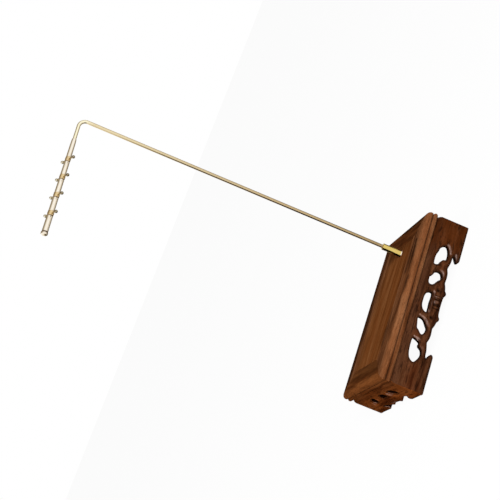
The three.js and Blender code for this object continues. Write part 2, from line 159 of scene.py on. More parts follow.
class Graph:
    """Node tree of one material or of the world, with the few operations that this scene uses."""

    def __init__(self, tree: bpy.types.NodeTree) -> None:
        """Start from an empty tree."""
        self.tree = tree
        tree.nodes.clear()

    def node(self, kind: str, settings: Mapping, inputs: Mapping) -> bpy.types.Node:
        """Make one node.

        Args:
            kind: Blender's node type.
            settings: properties set before the sockets; stops gives a ramp its positions and colours.
            inputs: socket name or number to a Term, a socket, or a constant.

        Returns:
            The node.
        """
        made = self.tree.nodes.new(kind)
        for name, value in settings.items():
            if name == "stops":
                self._set_stops(made.color_ramp, value)
            else:
                setattr(made, name, value)
        for name, value in inputs.items():
            socket = made.inputs[name]
            if isinstance(value, Term):
                self.tree.links.new(value.socket, socket)
            elif isinstance(value, bpy.types.NodeSocket):
                self.tree.links.new(value, socket)
            else:
                socket.default_value = value
        return made

    @staticmethod
    def _set_stops(ramp: bpy.types.ColorRamp, stops: Sequence[tuple[float, Colour]]) -> None:
        """Write a ramp's stops, keeping the two that it starts with."""
        while len(ramp.elements) < len(stops):
            ramp.elements.new(0.5)
        for element, (place, colour) in zip(ramp.elements, stops):
            element.position = place
            element.color = (*colour, 1.0)

    def term(self, kind: str, settings: Mapping, inputs: Mapping, output: Any = 0) -> Term:
        """Make one node and take one of its outputs."""
        return Term(self, self.node(kind, settings, inputs).outputs[output])

    def math(self, operation: str, *terms: Number) -> Term:
        """One Math node on terms and numbers."""
        return self.term("ShaderNodeMath", {"operation": operation}, dict(enumerate(terms)))

    def vector(self, operation: str, place: Term, step: Triple, output: Any = 0) -> Term:
        """One Vector Math node on a place and a fixed vector."""
        return self.term("ShaderNodeVectorMath", {"operation": operation}, {0: place, 1: step}, output)

    def place(self) -> Term:
        """Object coordinates, in metres."""
        return self.term("ShaderNodeTexCoord", {}, {}, "Object")

    def axis(self, name: str) -> Term:
        """One of the object coordinates."""
        return self.term("ShaderNodeSeparateXYZ", {}, {0: self.place()}, name)

    def noise(self, place: Term, per_metre: Triple, detail: float, roughness: float = 0.55,
              warp: float = 0.0) -> Term:
        """Noise about 0.5, at a frequency per metre on each axis of a place."""
        return self.term(
            "ShaderNodeTexNoise", {},
            {"Vector": self.vector("MULTIPLY", place, per_metre), "Scale": 1.0, "Detail": detail,
             "Roughness": roughness, "Distortion": warp}, "Fac")

    def even_noise(self, per_metre: float, detail: float, roughness: float = 0.55) -> Term:
        """Noise that is the same on every axis."""
        return self.noise(self.place(), (per_metre,) * 3, detail, roughness)

    def ramp(self, factor: Term, stops: Sequence[tuple[float, Colour]]) -> Term:
        """Colour from a ramp."""
        return self.term("ShaderNodeValToRGB", {"stops": stops}, {"Fac": factor}, "Color")

    def blend(self, first: Any, second: Any, factor: Number) -> Term:
        """Mix of the colours first and second by factor; the node's colour sockets are 6, 7 and output 2."""
        colours = [(*value, 1.0) if isinstance(value, tuple) else value for value in (first, second)]
        return self.term("ShaderNodeMix", {"data_type": "RGBA"}, {0: factor, 6: colours[0], 7: colours[1]}, 2)

    def attribute(self, name: str) -> Term:
        """A number kept on the mesh's points."""
        return self.term("ShaderNodeAttribute", {"attribute_name": name}, {}, "Fac")

    def bump(self, height: Term, strength: float, distance: float) -> Term:
        """Normal from a height."""
        return self.term("ShaderNodeBump", {}, {"Height": height, "Strength": strength, "Distance": distance},
                         "Normal")

    def seen(self) -> Term:
        """One for rays from the camera, a glossy surface or through glass, nought for the rest."""
        path = self.node("ShaderNodeLightPath", {}, {})
        rays = [Term(self, path.outputs[f"Is {kind} Ray"]) for kind in ("Camera", "Glossy", "Transmission")]
        return self.math("MINIMUM", rays[0] + rays[1] + rays[2], 1.0)

    def surface(self, **inputs: Any) -> None:
        """Finish the tree with a Principled shader and the output."""
        named = {name.replace("_", " "): value for name, value in inputs.items()}
        shader = self.node("ShaderNodeBsdfPrincipled", {}, named)
        self.node("ShaderNodeOutputMaterial", {}, {"Surface": shader.outputs[0]})


def new_graph(name: str) -> tuple[Material, Graph]:
    """A node material and its empty graph."""
    material = bpy.data.materials.new(name)
    material.use_nodes = True
    return material, Graph(material.node_tree)


@dataclass(frozen=True)
class Stain:
    """A streaky patch of another tone on a board, between soft limits on X and Y, in metres."""

    x: Pair
    y: Pair
    colour: Colour = (0.030, 0.010, 0.004)
    weight: float = 0.7
    broken: float = 0.6
    soft: float = 0.002

    def mask(self, graph: Graph, bands: Term, wander: Term) -> Term:
        """Share of the patch's tone: a step up and one down on each axis, broken up by bands of the grain."""
        total = bands.between(0.45, 0.56) * self.broken + (1.0 - self.broken)
        for name, (low, high) in (("X", self.x), ("Y", self.y)):
            value = graph.axis(name) + wander
            total = total * value.between(low - self.soft, low + self.soft)
            total = total * (1.0 - value.between(high - self.soft, high + self.soft))
        return total * self.weight


@dataclass(frozen=True)
class Pattern:
    """A noise drawn out along the grain: frequencies per metre along and across it, and its own settings."""

    along: float
    across: float
    detail: float
    roughness: float
    warp: float = 0.0


@dataclass(frozen=True)
class WoodFinish:
    """Oiled dark hardwood: straight fibres, dark streaks, redder patches and fine open pores."""

    name: str
    grain: Grain
    light: Colour
    middle: Colour
    dark: Colour
    red: Colour
    roughness: float = 0.45
    figure: float = 1.0
    fleck: float = 0.3
    painted_highlight_share: float = 0.0
    offset: Triple = (0.0, 0.0, 0.0)
    carved: bool = False
    varnish: float = 2.3
    stains: tuple[Stain, ...] = ()

    def pattern(self, graph: Graph, pattern: Pattern) -> Term:
        """A pattern's noise, laid along this board's grain and set off by the board's own offset."""
        per_metre = [pattern.across] * 3
        per_metre[self.grain.value] = pattern.along
        place = graph.vector("ADD", graph.place(), self.offset)
        return graph.noise(place, tuple(per_metre), pattern.detail, pattern.roughness, pattern.warp)

    def material(self) -> Material:
        """Build the node material: a tone from the patterns, a painted highlight on edges, stains, flecks and
        painted shade; on carved boards also painted shade on sawn walls and a painted highlight with a coat on
        rims.
        """
        made, graph = new_graph(self.name)
        broad = self.pattern(graph, Pattern(5.0, 46.0, 2.0, 0.5, 0.6))
        rings = (broad * (30.0 * self.figure)).sine() * 0.5 + 0.5
        streaks = self.pattern(graph, Pattern(24.0, 300.0, 4.0, 0.62))
        flecks = self.pattern(graph, Pattern(85.0, 400.0, 2.0, 0.6, 0.3))
        fibre = self.pattern(graph, Pattern(45.0, 1500.0, 3.0, 0.6))
        pores = self.pattern(graph, Pattern(220.0, 2800.0, 1.0, 0.5)).between(0.6, 0.7)
        cloud = self.pattern(graph, Pattern(24.0, 70.0, 3.0, 0.55))
        bands = self.pattern(graph, Pattern(19.0, 125.0, 3.0, 0.6, 0.3))
        tone = broad * 0.20 + rings * 0.08 + streaks * 0.42 + fibre * 0.12 + cloud * 0.18
        usual, spread = 0.47, 0.10
        places = (usual - spread, usual, usual + spread)
        colour = graph.ramp(tone, list(zip(places, (self.dark, self.middle, self.light))))
        colour = graph.blend(colour, self.red, cloud.between(0.46, 0.62) * 0.4)
        # Painted highlight: a lighter tone on the rails' rounded outer edges.
        colour = graph.blend(colour, self.light, graph.attribute("worn") * self.painted_highlight_share)
        colour = graph.blend(colour, self.dark, pores * 0.5)
        for stain in self.stains:
            colour = graph.blend(colour, stain.colour, stain.mask(graph, bands, (cloud - 0.5) * 0.02))
        deep = tuple(value * 0.5 for value in self.dark)
        colour = graph.blend(colour, deep, flecks.between(0.5, 0.68) * self.fleck)
        roughness = fibre * 0.10 + pores * 0.18 + (self.roughness - 0.05)
        # Painted shade, read from the mesh: darker in crevices, under the bead and the moulding, at the soles
        # and at an end.
        grime = graph.attribute("grime")
        colour = graph.blend(colour, PAINTED_SHADE_WOOD, grime * 0.75)
        coat = {}
        if self.carved:
            # Painted shade: near-black on the deep sawn walls of the openings and in the knot's eyes and flute
            # hollows.
            colour = graph.blend(colour, PAINTED_HOLE_SHADE, graph.attribute("sawn"))
            roughness = roughness + grime * 0.2
            # Painted highlight: a lighter colour on slopes that face the light, with a glossy coat on the same
            # slopes.
            rim = graph.attribute("rim") * cloud.between(0.38, 0.54)
            colour = graph.blend(colour, LIT_WOOD, rim * 0.55)
            coat = {"Coat_Weight": rim, "Coat_Roughness": 0.3, "Coat_IOR": self.varnish}
        height = fibre * 0.4 + streaks * 0.3 - pores * 1.0
        graph.surface(Base_Color=colour, Roughness=roughness, Normal=graph.bump(height, 0.2, 0.0002),
                      Specular_IOR_Level=0.0, **coat)
        return made


@dataclass(frozen=True)
class BrassFinish:
    """Polished brass with clouds of tarnish.

    golden is the tone of the turned collars. A painted shade darkens the post below its lower heights, and a
    painted highlight lightens its bend above its upper heights; each fades between two heights, in metres.
    edge tints the reflections at a grazing angle.
    """

    name: str
    bright: Colour
    tarnish: Colour
    polish: float = 0.14
    cloud: float = 90.0
    golden: Optional[Colour] = None
    painted_low_shade: Optional[Colour] = None
    pale: Optional[Colour] = None
    edge: Colour = (1.0, 1.0, 1.0)
    painted_low_shade_heights: Pair = (0.12, 0.40)
    painted_bend_highlight_heights: Pair = (0.364, 0.377)

    def material(self) -> Material:
        """Build the node material."""
        made, graph = new_graph(self.name)
        clouds = graph.even_noise(self.cloud, 3.0, 0.5)
        film = graph.even_noise(self.cloud * 9.0, 2.0, 0.5)
        colour = graph.blend(self.bright, self.tarnish, clouds.between(0.45, 0.8) * 0.35)
        if self.golden is not None:
            colour = graph.blend(colour, self.golden, graph.attribute("warm"))
        # Painted highlight: a pale band on the ferrule's foot.
        colour = graph.blend(colour, PAINTED_HIGHLIGHT_BRASS, graph.attribute("worn") * 0.8)
        # Painted shade on the post low down, and a painted highlight on its bend, each by height.
        if self.painted_low_shade is not None:
            colour = graph.blend(self.painted_low_shade, colour, graph.axis("Z").between(*self.painted_low_shade_heights))
        if self.pale is not None:
            colour = graph.blend(colour, self.pale, graph.axis("Z").between(*self.painted_bend_highlight_heights))
        # Painted shade in the sleeve's ring grooves, at its tip and at the cap's root.
        grime = graph.attribute("grime")
        roughness = clouds * 0.05 + film * 0.03 + grime * 0.2 + (self.polish - 0.04)
        colour = graph.blend(colour, PAINTED_SHADE_BRASS, grime)
        graph.surface(Base_Color=colour, Metallic=1.0, Roughness=roughness, Specular_Tint=(*self.edge, 1.0),
                      Normal=graph.bump(film, 0.01, 0.00002))
        return made


def linked(name: str, data: Any) -> Piece:
    """A new object at the origin, linked to the scene."""
    made = bpy.data.objects.new(name, data)
    bpy.context.scene.collection.objects.link(made)
    return made


def dress(piece: Piece, finish: Material, body: str, node: str, slot: str) -> None:
    """Give a piece its material and body, and hide the solid it stands for."""
    piece.data.materials.clear()
    piece.data.materials.append(finish)
    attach(piece, body)
    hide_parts(node)
    LOG.info("%s: %d faces", piece.name, len(piece.data.polygons))


def repaint(node: str, material: Material) -> None:
    """Give a solid that stays in view its material."""
    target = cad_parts[node]
    target.data.materials.clear()
    target.data.materials.append(material)
    LOG.info("%s: kept", node)


def rise(values: Array, start: float, end: float) -> Array:
    """Climb straight from 0 at start to 1 at end; start may be the larger."""
    return np.clip((values - start) / (end - start), 0.0, 1.0)


def bell(values: Array, width: float) -> Array:
    """Bell curve: 1 at nought, an e-th of it at the width."""
    return np.exp(-(values / width) ** 2)


def read(items: Any, name: str, width: int) -> Array:
    """One property of every item, as rows of a width."""
    values = np.empty(len(items) * width)
    items.foreach_get(name, values)
    return values.reshape(-1, width)


def keep(mesh: Mesh, name: str, values: Array) -> None:
    """Keep one number per point on the mesh."""
    layer = mesh.attributes.new(name, "FLOAT", "POINT")
    layer.data.foreach_set("value", values.astype(np.float32))


def eased(values: Array, edges: Array, rounds: int) -> Array:
    """Average every point's row with the mean of its neighbours, a number of times."""
    count = np.bincount(edges.ravel(), minlength=len(values))[:, None]
    start, end = edges.T
    for _ in range(rounds):
        total = [np.bincount(start, column[end], len(values)) + np.bincount(end, column[start], len(values))
                 for column in values.T]
        values = 0.5 * (values + np.stack(total, axis=-1) / count)
    return values


def as_piece(name: str, points: Array, faces: list, sharp: float = SHARP) -> Piece:
    """Make a smooth-shaded mesh object at the origin, with edges sharp past an angle.

    Args:
        name: the piece's name.
        points: vertex places, in metres, one row each.
        faces: vertex numbers of each face.
        sharp: angle in degrees past which an edge is crisp.

    Returns:
        The object, linked to the scene.
    """
    mesh = bpy.data.meshes.new(name)
    mesh.from_pydata(points.tolist(), [], faces)
    mesh.update()
    mesh.polygons.foreach_set("use_smooth", np.ones(len(mesh.polygons), bool))
    mesh.set_sharp_from_angle(angle=math.radians(sharp))
    return linked(name, mesh)


def ring_faces(rings: int, around: int) -> list:
    """Quads between rings of points that close on themselves."""
    row, column = np.meshgrid(np.arange(rings - 1), np.arange(around), indexing="ij")
    ahead = (column + 1) % around
    quads = np.stack([row * around + column, row * around + ahead,
                      (row + 1) * around + ahead, (row + 1) * around + column], axis=-1)
    return quads.reshape(-1, 4).tolist()


def skin(name: str, rings: Array, first: Array, last: Array, sharp: float = SHARP) -> Piece:
    """Closed surface through rings, with a pole at each end.

    Args:
        name: the piece's name.
        rings: places as rings by points around by 3, in order from first to last.
        first: pole before the first ring.
        last: pole after the last ring.
        sharp: angle in degrees past which an edge is crisp.

    Returns:
        The object.
    """
    count, around = rings.shape[:2]
    points = np.concatenate([rings.reshape(-1, 3), [first, last]])
    faces = ring_faces(count, around)
    step = np.arange(around)
    ahead = (step + 1) % around
    begin = np.stack([np.full(around, count * around), ahead, step], axis=-1)
    end = (count - 1) * around + np.stack([step, ahead, np.full(around, around + 1)], axis=-1)
    return as_piece(name, points, faces + begin.tolist() + end.tolist(), sharp)


def turned(name: str, profile: Array, place: Matrix, finish: Material, solid: tuple[str, str, str],
           around: int = 64, sharp: float = SHARP, **marks: Array) -> None:
    """Turn and dress a piece: x = r cos t, y = r sin t and z = h for profile rows of r and h.

    Args:
        name: the piece's name.
        profile: radius and height of each ring, in millimetres; the first and last lie on the axis.
        place: local frame to the scene.
        finish: its material.
        solid: body, node and slot.
        around: points round a ring.
        sharp: angle in degrees past which an edge is crisp.
        marks: numbers per profile row, kept on every point of the ring.
    """
    turn = np.linspace(0.0, 2.0 * math.pi, around, endpoint=False)
    radius, height = (column[:, None] for column in (profile * MM).T)
    local = np.stack([radius * np.cos(turn), radius * np.sin(turn), height + 0.0 * turn], axis=-1)
    world = local @ np.array(place.to_3x3()).T + np.array(place.translation)
    piece = skin(name, world[1:-1], world[0, 0], world[-1, 0], sharp)
    for mark, values in marks.items():
        keep(piece.data, mark, np.concatenate([np.repeat(values[1:-1], around), values[[0, -1]]]))
    dress(piece, finish, *solid)


def arc(middle: Pair, radii: Pair, start: float, end: float, count: int) -> Array:
    """Points along an arc: the middle plus the radii times the cosine and sine of the angle."""
    angle = np.linspace(start, end, count)
    return np.stack([middle[0] + radii[0] * np.cos(angle), middle[1] + radii[1] * np.sin(angle)], axis=-1)


def smooth_line(points: Array, steps: int = 8) -> Array:
    """Catmull-Rom curve through points: each span is the usual cubic blend of its four neighbours."""
    padded = np.concatenate([[2 * points[0] - points[1]], points, [2 * points[-1] - points[-2]]])
    t = np.linspace(0.0, 1.0, steps, endpoint=False)[None, :, None]
    before, here, ahead, beyond = (padded[i:len(padded) - 3 + i, None, :] for i in range(4))
    curve = 0.5 * (2 * here + (ahead - before) * t + (2 * before - 5 * here + 4 * ahead - beyond) * t ** 2
                   + (3 * here - before - 3 * ahead + beyond) * t ** 3)
    return np.concatenate([curve.reshape(-1, points.shape[1]), points[-1:]])


def distance_to_segments(places: Array, starts: Array, ends: Array) -> tuple[Array, Array]:
    """Distance of each place to the nearest segment, and that segment's number plus the share along it.

    Each segment's nearest point is its start plus the clamped projection; the least distance wins.
    """
    best = np.full(len(places), np.inf)
    where = np.zeros(len(places))
    for number, (start, step) in enumerate(zip(starts, ends - starts)):
        share = np.clip((places - start) @ step / (step @ step), 0.0, 1.0)
        distance = np.linalg.norm(places - start - share[:, None] * step, axis=1)
        nearer = distance < best
        best = np.where(nearer, distance, best)
        where = np.where(nearer, number + share, where)
    return best, where


def distance_to_line(places: Array, line: Array) -> tuple[Array, Array]:
    """Distance of each place to a polyline, and how far along it the nearest point lies, from 0 to 1."""
    distance, where = distance_to_segments(places, line[:-1], line[1:])
    travelled = np.concatenate([[0.0], np.cumsum(np.linalg.norm(np.diff(line, axis=0), axis=1))])
    return distance, np.interp(where, np.arange(len(line)), travelled / travelled[-1])


def outline_of_face(mesh: Mesh, facing: Array) -> Array:
    """Outline of the flat face of a solid that looks one way, as segments by ends by 3.

    Corners at one place count as one; an edge that only one of the face's triangles has is on its outline.
    """
    mesh.calc_loop_triangles()
    points = read(mesh.vertices, "co", 3)
    corners = read(mesh.loop_triangles, "vertices", 3).astype(int)
    normals = read(mesh.loop_triangles, "normal", 3)
    depth = points @ facing
    on_face = (normals @ facing > 0.99) & (depth[corners].min(axis=1) > depth.max() - 0.01 * MM)
    places, same = np.unique(np.round(points / (0.001 * MM)), axis=0, return_inverse=True)
    around = same.ravel()[corners[on_face]]
    edges = np.sort(np.concatenate([around[:, [0, 1]], around[:, [1, 2]], around[:, [2, 0]]]), axis=1)
    edges, uses = np.unique(edges, axis=0, return_counts=True)
    return places[edges[uses == 1]] * (0.001 * MM)


@dataclass(frozen=True)
class Stroke:
    """One stroke of carving on an apron's face: a rounded ridge between two fine grooves."""

    line: tuple[Pair, ...]
    width: float = 3.0
    height: float = 0.55
    groove: float = 0.35
    both_sides: bool = True

    def relief(self, places: Array) -> Array:
        """Height of the stroke at each place, in millimetres.

        A bell of the stroke's width over its line, less a narrow one along each edge; both fade at the ends.
        """
        distance, along = distance_to_line(places, smooth_line(np.array(self.line)))
        fade = np.sin(math.pi * np.clip(along, 0.03, 0.97)) ** 0.5
        ridge = self.height * bell(distance, 0.38 * self.width)
        edge = self.groove * bell(distance - 0.62 * self.width, 0.6)
        return (ridge - edge) * fade


@dataclass(frozen=True)
class Carving:
    """Relief of an apron, in millimetres from its middle and from the table.

    Ribs and eyes, given by their middles, belong to the knot. A rim is as deep as rounding and as wide as
    reach. pressed is the least and the most share of the board's raised scrolls that is pressed back. From the
    depth dark_from sawn walls take a painted shade, and between the cosines of lit a slope that faces the
    light takes a painted highlight and a coat.
    """

    strokes: tuple[Stroke, ...]
    eye: Pair
    knot: Pair
    ribs: tuple[Pair, ...]
    knot_margin: float = 0.6
    eye_depth: float = 0.8
    eye_radius: float = 1.6
    rib_height: float = 0.5
    scrolls_end: float = 53.0
    pressed: Pair = (0.45, 0.85)
    near_edge: float = 3.4
    rounding: float = 1.1
    reach: float = 2.0
    # sheen scales the painted rim highlight and its coat.
    sheen: float = 0.9
    dark_from: float = 2.2
    lit: Pair = (0.82, 0.94)

    def press(self, places: Array) -> Array:
        """Share of the raised scrolls that is pressed back: none on the knot, most at the ends."""
        outer = rise(np.abs(places[:, 0]), self.scrolls_end, self.scrolls_end + 2.0)
        least, most = self.pressed
        return np.where(self.on_knot(places) > 0, 0.0, least + (most - least) * outer)

    def on_knot(self, places: Array) -> Array:
        """One over the knot, nought elsewhere."""
        reach = max(abs(middle) + width for middle, width in self.ribs)
        low, high = self.knot
        inside = (places[:, 1] > low - self.knot_margin) & (places[:, 1] < high + self.knot_margin)
        return (inside & (np.abs(places[:, 0]) < reach)).astype(float)

    def height(self, places: Array, distance: Array) -> Array:
        """Relief over the face: rounded rims, every stroke and its mirror image, the knot's flutes.

        A rim falls away as a bell of the distance from the sawn edge.
        """
        total = -self.rounding * bell(distance, self.reach)
        for stroke in self.strokes:
            total += stroke.relief(places)
            if stroke.both_sides:
                total += stroke.relief(places * (-1.0, 1.0))
        return total + self.flutes(places) - self.eye_depth * self.eyes(places)

    def flutes(self, places: Array) -> Array:
        """Ribs of the knot: a cosine over each rib's width, between its low and high ends."""
        total = np.zeros(len(places))
        low, high = self.knot
        inside = (places[:, 1] > low) & (places[:, 1] < high)
        for middle, width in self.ribs:
            away = (places[:, 0] - middle) / width
            wave = self.rib_height * np.cos(2.0 * math.pi * away)
            total += np.where(inside & (np.abs(away) < 0.75), wave, 0.0)
        return total

    def eyes(self, places: Array) -> Array:
        """A bell over the hollow at each end of the knot."""
        across, above = self.eye
        return sum(bell(np.hypot(places[:, 0] - side * across, places[:, 1] - above), self.eye_radius)
                   for side in (-1.0, 1.0))

    def sawn(self, places: Array, facing: Array, deep: Array, low: Array) -> Array:
        """Share of the painted shade on sawn walls deeper than dark_from and in the knot's eyes and flute
        hollows.

        Args:
            places: each point along the face and above the table.
            facing: how far it faces out, as a cosine.
            deep: its depth under the highest relief.
            low: whether it is under the shoulder.
        """
        wall = rise(facing, 0.5, 0.3) * rise(deep, self.dark_from, self.dark_from + 0.4) * low
        hollows = 1.3 * self.eyes(places) + np.clip(-2.2 * self.flutes(places), 0.0, 0.85)
        return np.clip(wall + hollows * rise(facing, 0.0, 1.0), 0.0, 0.95)

    def rim(self, places: Array, distance: Array, facing: Array, deep: Array, lit: Array) -> Array:
        """Share of the painted highlight and coat on slopes that face the light near the sawn edges and on the
        knot, and at half on its ribs.

        distance is that from the sawn edges, and lit how far the light reaches; the rest is as for sawn.
        """
        near = np.clip(np.exp(-(distance / self.near_edge) ** 4) + self.on_knot(places), 0.0, 1.0)
        ribs = 0.5 * rise(self.flutes(places), 0.0, 0.35) * rise(facing, 0.0, 1.0)
        return np.maximum(lit * near * rise(deep, self.dark_from + 0.6, self.dark_from), ribs)


LONG_CARVING = Carving(
    strokes=(
        Stroke(((51.0, 9.7), (45.6, 10.5), (40.8, 13.6), (37.0, 18.2), (36.2, 22.8)), 3.2, 0.3, 0.15),
        Stroke(((28.0, 9.9), (23.6, 11.0), (18.6, 14.4), (15.2, 19.0), (14.6, 23.0)), 2.8, 0.3, 0.15),
        Stroke(((18.6, 12.6), (16.8, 10.6), (15.7, 7.6)), 1.8, 0.35, 0.3),
        Stroke(((-12.6, 14.6), (-8.0, 14.9), (0.0, 15.1), (8.0, 14.9), (12.6, 14.6)), 2.4, 0.4, 0.3, False),
    ),
    eye=(13.9, 12.2),
    knot=(7.2, 13.8),
    ribs=((-3.2, 2.6), (2.1, 4.8), (7.2, 2.2)),
)

SHORT_CARVING = Carving(
    strokes=(
        Stroke(((27.0, 10.2), (22.6, 11.2), (18.0, 14.4), (14.4, 18.2), (13.6, 22.2)), 2.8, 0.3, 0.15),
        Stroke(((30.6, 11.2), (33.0, 15.2), (32.2, 19.8)), 2.0, 0.4, 0.3),
        Stroke(((-9.0, 13.4), (-5.0, 13.8), (0.0, 14.0), (5.0, 13.8), (9.0, 13.4)), 2.0, 0.4, 0.3, False),
    ),
    eye=(10.4, 10.4),
    knot=(6.0, 12.4),
    ribs=((-3.0, 1.9), (0.0, 1.9), (3.0, 1.9)),
    rounding=0.8,
    reach=1.8,
    sheen=1.5,
    dark_from=2.1,
    lit=(0.68, 0.80),
)


@dataclass(frozen=True)
class Tray:
    """Hardwood tray: mitred moulded frame, floating panel, carved aprons with bracket feet, glue blocks.

    solid_gap is the joint that the solids leave at a mitre, and mitre_gap what is left of it here. The lit
    slopes, on the long sides and on the ends, are the directions of carved slopes that catch the light and get
    a painted highlight.
    Each dark is the strength and width of a painted shade: under the moulding, at the soles, at the right end,
    in a crevice.
    """

    length: float = 172.6
    depth: float = 104.3
    apron_height: float = 32.2
    shoulder: float = 4.4
    rail_width: float = 22.5
    rail_height: float = 11.5
    overhang: float = 0.4
    edge_radius: float = 4.5
    edge_inset: float = 0.5
    bead_radius: float = 2.75
    bead_inset: float = 0.1
    bead_height: float = 5.1
    groove: Pair = (4.4, 8.0)
    groove_reach: float = 4.8
    # Crevices of the rail's section and their widths, where the rails get painted shade.
    crevices: tuple[Pair, ...] = ((1.4, 5.1), (2.0, 0.0))
    crevice_widths: Pair = (1.0, 1.9)
    softness: float = 0.25
    solid_gap: float = 0.3
    mitre_gap: float = 0.05
    voxel: float = 0.42
    lit_slope: Triple = (-0.50, -0.68, 0.54)
    lit_end_slope: Triple = (-0.40, -0.83, 0.38)
    dark_top: Pair = (0.5, 3.4)
    dark_sole: Pair = (0.6, 1.1)
    dark_end: Pair = (0.7, 1.2)
    dark_crevice: Pair = (1.0, 0.8)

    def rail_section(self) -> Array:
        """Section of a rail as distance in from the outer face and height over its underside.

        The edge's arc runs from the top past the side and a little under; the bead's arc below it ends on the
        apron. Straight lines and the panel's groove make the rest.
        """
        width, height, radius = self.rail_width, self.rail_height, self.edge_radius
        edge = height - radius
        under = math.asin((edge - self.bead_height) / radius)
        swell = math.asin(self.bead_height / 2 / self.bead_radius)
        groove = width - self.groove_reach
        low, high = self.groove
        inner = [[width, 0.0], [width, low], [groove, low], [groove, high], [width, high], [width, height],
                 [radius + 2.2, height], [radius + 1.4, height]]
        round_edge = arc((self.edge_inset + radius, edge), (radius, radius), math.pi / 2, math.pi + under, 24)
        bead = arc((self.bead_inset + self.bead_radius, self.bead_height / 2), (self.bead_radius,) * 2,
                   math.pi - swell, math.pi + swell, 22)
        return np.concatenate([inner, round_edge, bead])

    def build_rail(self, side: Side, finish: Material) -> None:
        """Carry the section along one side, its ends on the mitre: x = half length less the distance in."""
        length, depth = (2 * (half + self.overhang) for half in self.halves(side))
        section = self.rail_section()
        inward, height = section.T
        reach = length / 2 - inward - self.mitre_gap / math.sqrt(2)
        ends = [np.stack([sign * reach, inward - depth / 2, height + self.apron_height], axis=-1)
                for sign in (-1.0, 1.0)]
        count = len(section)
        here = np.arange(count)
        ahead = (here + 1) % count
        walls = np.stack([here, ahead, ahead + count, here + count], axis=-1).tolist()
        caps = [here[::-1].tolist(), (here + count).tolist()]
        turn = np.array(Matrix.Rotation(side.turn, 3, "Z"))
        piece = as_piece(f"{side.word}_rail_moulding", np.concatenate(ends) * MM @ turn.T, walls + caps)
        # Painted shade in the rail's crevices and under the bead, weaker on the ends.
        away = np.linalg.norm(section[:, None] - np.array(self.crevices), axis=2)
        under = 0.2 * (height < self.bead_height) * (inward < 3.0)
        grime = np.maximum(bell(away, np.array(self.crevice_widths)).max(axis=1), under)
        keep(piece.data, "grime", np.tile(grime * (1.0 if side.is_long else 0.55), 2))
        # Painted highlight on the rounded outer edge, above the bead.
        worn = rise(inward, self.edge_radius + 2.0, self.edge_radius + 0.5) * (height > self.bead_height)
        keep(piece.data, "worn", np.tile(worn, 2))
        bevel = piece.modifiers.new("soften", "BEVEL")
        bevel.width = self.softness * MM
        bevel.segments = 2
        bevel.limit_method = "ANGLE"
        bevel.angle_limit = math.radians(35)
        dress(piece, finish, "base", f"{side.word}_rail", "dark_wood")

    def halves(self, side: Side) -> Pair:
        """Half the tray's size along a side, and half its size across it."""
        return (self.length / 2, self.depth / 2) if side.is_long else (self.depth / 2, self.length / 2)

    def fine_mesh(self, side: Side) -> Mesh:
        """The sawn board of a side, rounded over with a fine remesh and a little smoothing."""
        board = linked(f"{side.word}_apron_board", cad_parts[f"{side.word}_apron"].data.copy())
        board.modifiers.new("weld", "WELD").merge_threshold = 0.01 * MM
        remesh = board.modifiers.new("remesh", "REMESH")
        remesh.mode = "VOXEL"
        remesh.voxel_size = self.voxel * MM
        ease = board.modifiers.new("ease", "SMOOTH")
        ease.factor = 0.5
        ease.iterations = 3
        bpy.context.view_layer.update()
        mesh = bpy.data.meshes.new_from_object(board.evaluated_get(bpy.context.evaluated_depsgraph_get()))
        bpy.data.objects.remove(board)
        return mesh

    def from_saw(self, side: Side, to_face: Array, flat: Array) -> Array:
        """Distance of each place on the face to the sawn edges, without the ends, the top and the soles."""
        saw = outline_of_face(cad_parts[f"{side.word}_apron"].data, -side.outward) @ to_face
        along, above = saw.mean(axis=1).T
        sawn = (above > 0.4) & (above < self.apron_height - self.shoulder)
        saw = saw[sawn & (np.abs(along) < np.abs(along).max() - 1.0)]
        return distance_to_segments(flat, saw[:, 0], saw[:, 1])[0]

    def build_apron(self, side: Side, finish: Material) -> None:
        """Raise the carving on a finely meshed board, and mark its looks.

        Each point whose normal faces out moves out by the carving's height at its place along and above.
        Points near a mitre move along the board, to close the joint.
        """
        mesh = self.fine_mesh(side)
        carving = LONG_CARVING if side.is_long else SHORT_CARVING
        half_length, half_depth = self.halves(side)
        to_face = np.stack([side.along, [0.0, 0.0, 1.0]], axis=-1) / MM
        places = read(mesh.vertices, "co", 3)
        facing = read(mesh.vertices, "normal", 3) @ side.outward
        flat = places @ to_face
        proud = places @ side.outward / MM - half_depth
        from_mitre = half_length + proud - np.abs(flat[:, 0])
        closing = (self.solid_gap - self.mitre_gap) / math.sqrt(2) * rise(from_mitre, 1.2, 0.4)
        places += side.along * (np.sign(flat[:, 0]) * closing * MM)[:, None]
        distance = self.from_saw(side, to_face, flat)
        relief = carving.height(flat, distance) * rise(facing, 0.35, 0.75)
        relief -= np.maximum(proud, 0.0) * carving.press(flat)
        edges = read(mesh.edges, "vertices", 2).astype(int)
        depth = (places @ side.outward + relief * MM)[:, None]
        places += side.outward * (eased(depth, edges, 4)[:, 0] - places @ side.outward)[:, None]
        mesh.vertices.foreach_set("co", places.ravel())
        mesh.polygons.foreach_set("use_smooth", np.ones(len(mesh.polygons), bool))
        mesh.update()
        out = places @ side.outward / MM
        normals = eased(read(mesh.vertices, "normal", 3), edges, 2)
        facing, deep = normals @ side.outward, out.max() - out
        low = flat[:, 1] < self.apron_height - self.shoulder
        # Painted shade: dark on sawn walls deeper than dark_from and in the knot's hollows.
        keep(mesh, "sawn", carving.sawn(flat, facing, deep, low))
        slope = self.lit_slope if side.is_long else self.lit_end_slope
        # Painted highlight: rims and ribs on slopes that face the lit direction; it also weights the coat.
        rim = carving.rim(flat, distance, facing, deep, low * rise(normals @ slope, *carving.lit))
        keep(mesh, "rim", rim * carving.sheen)
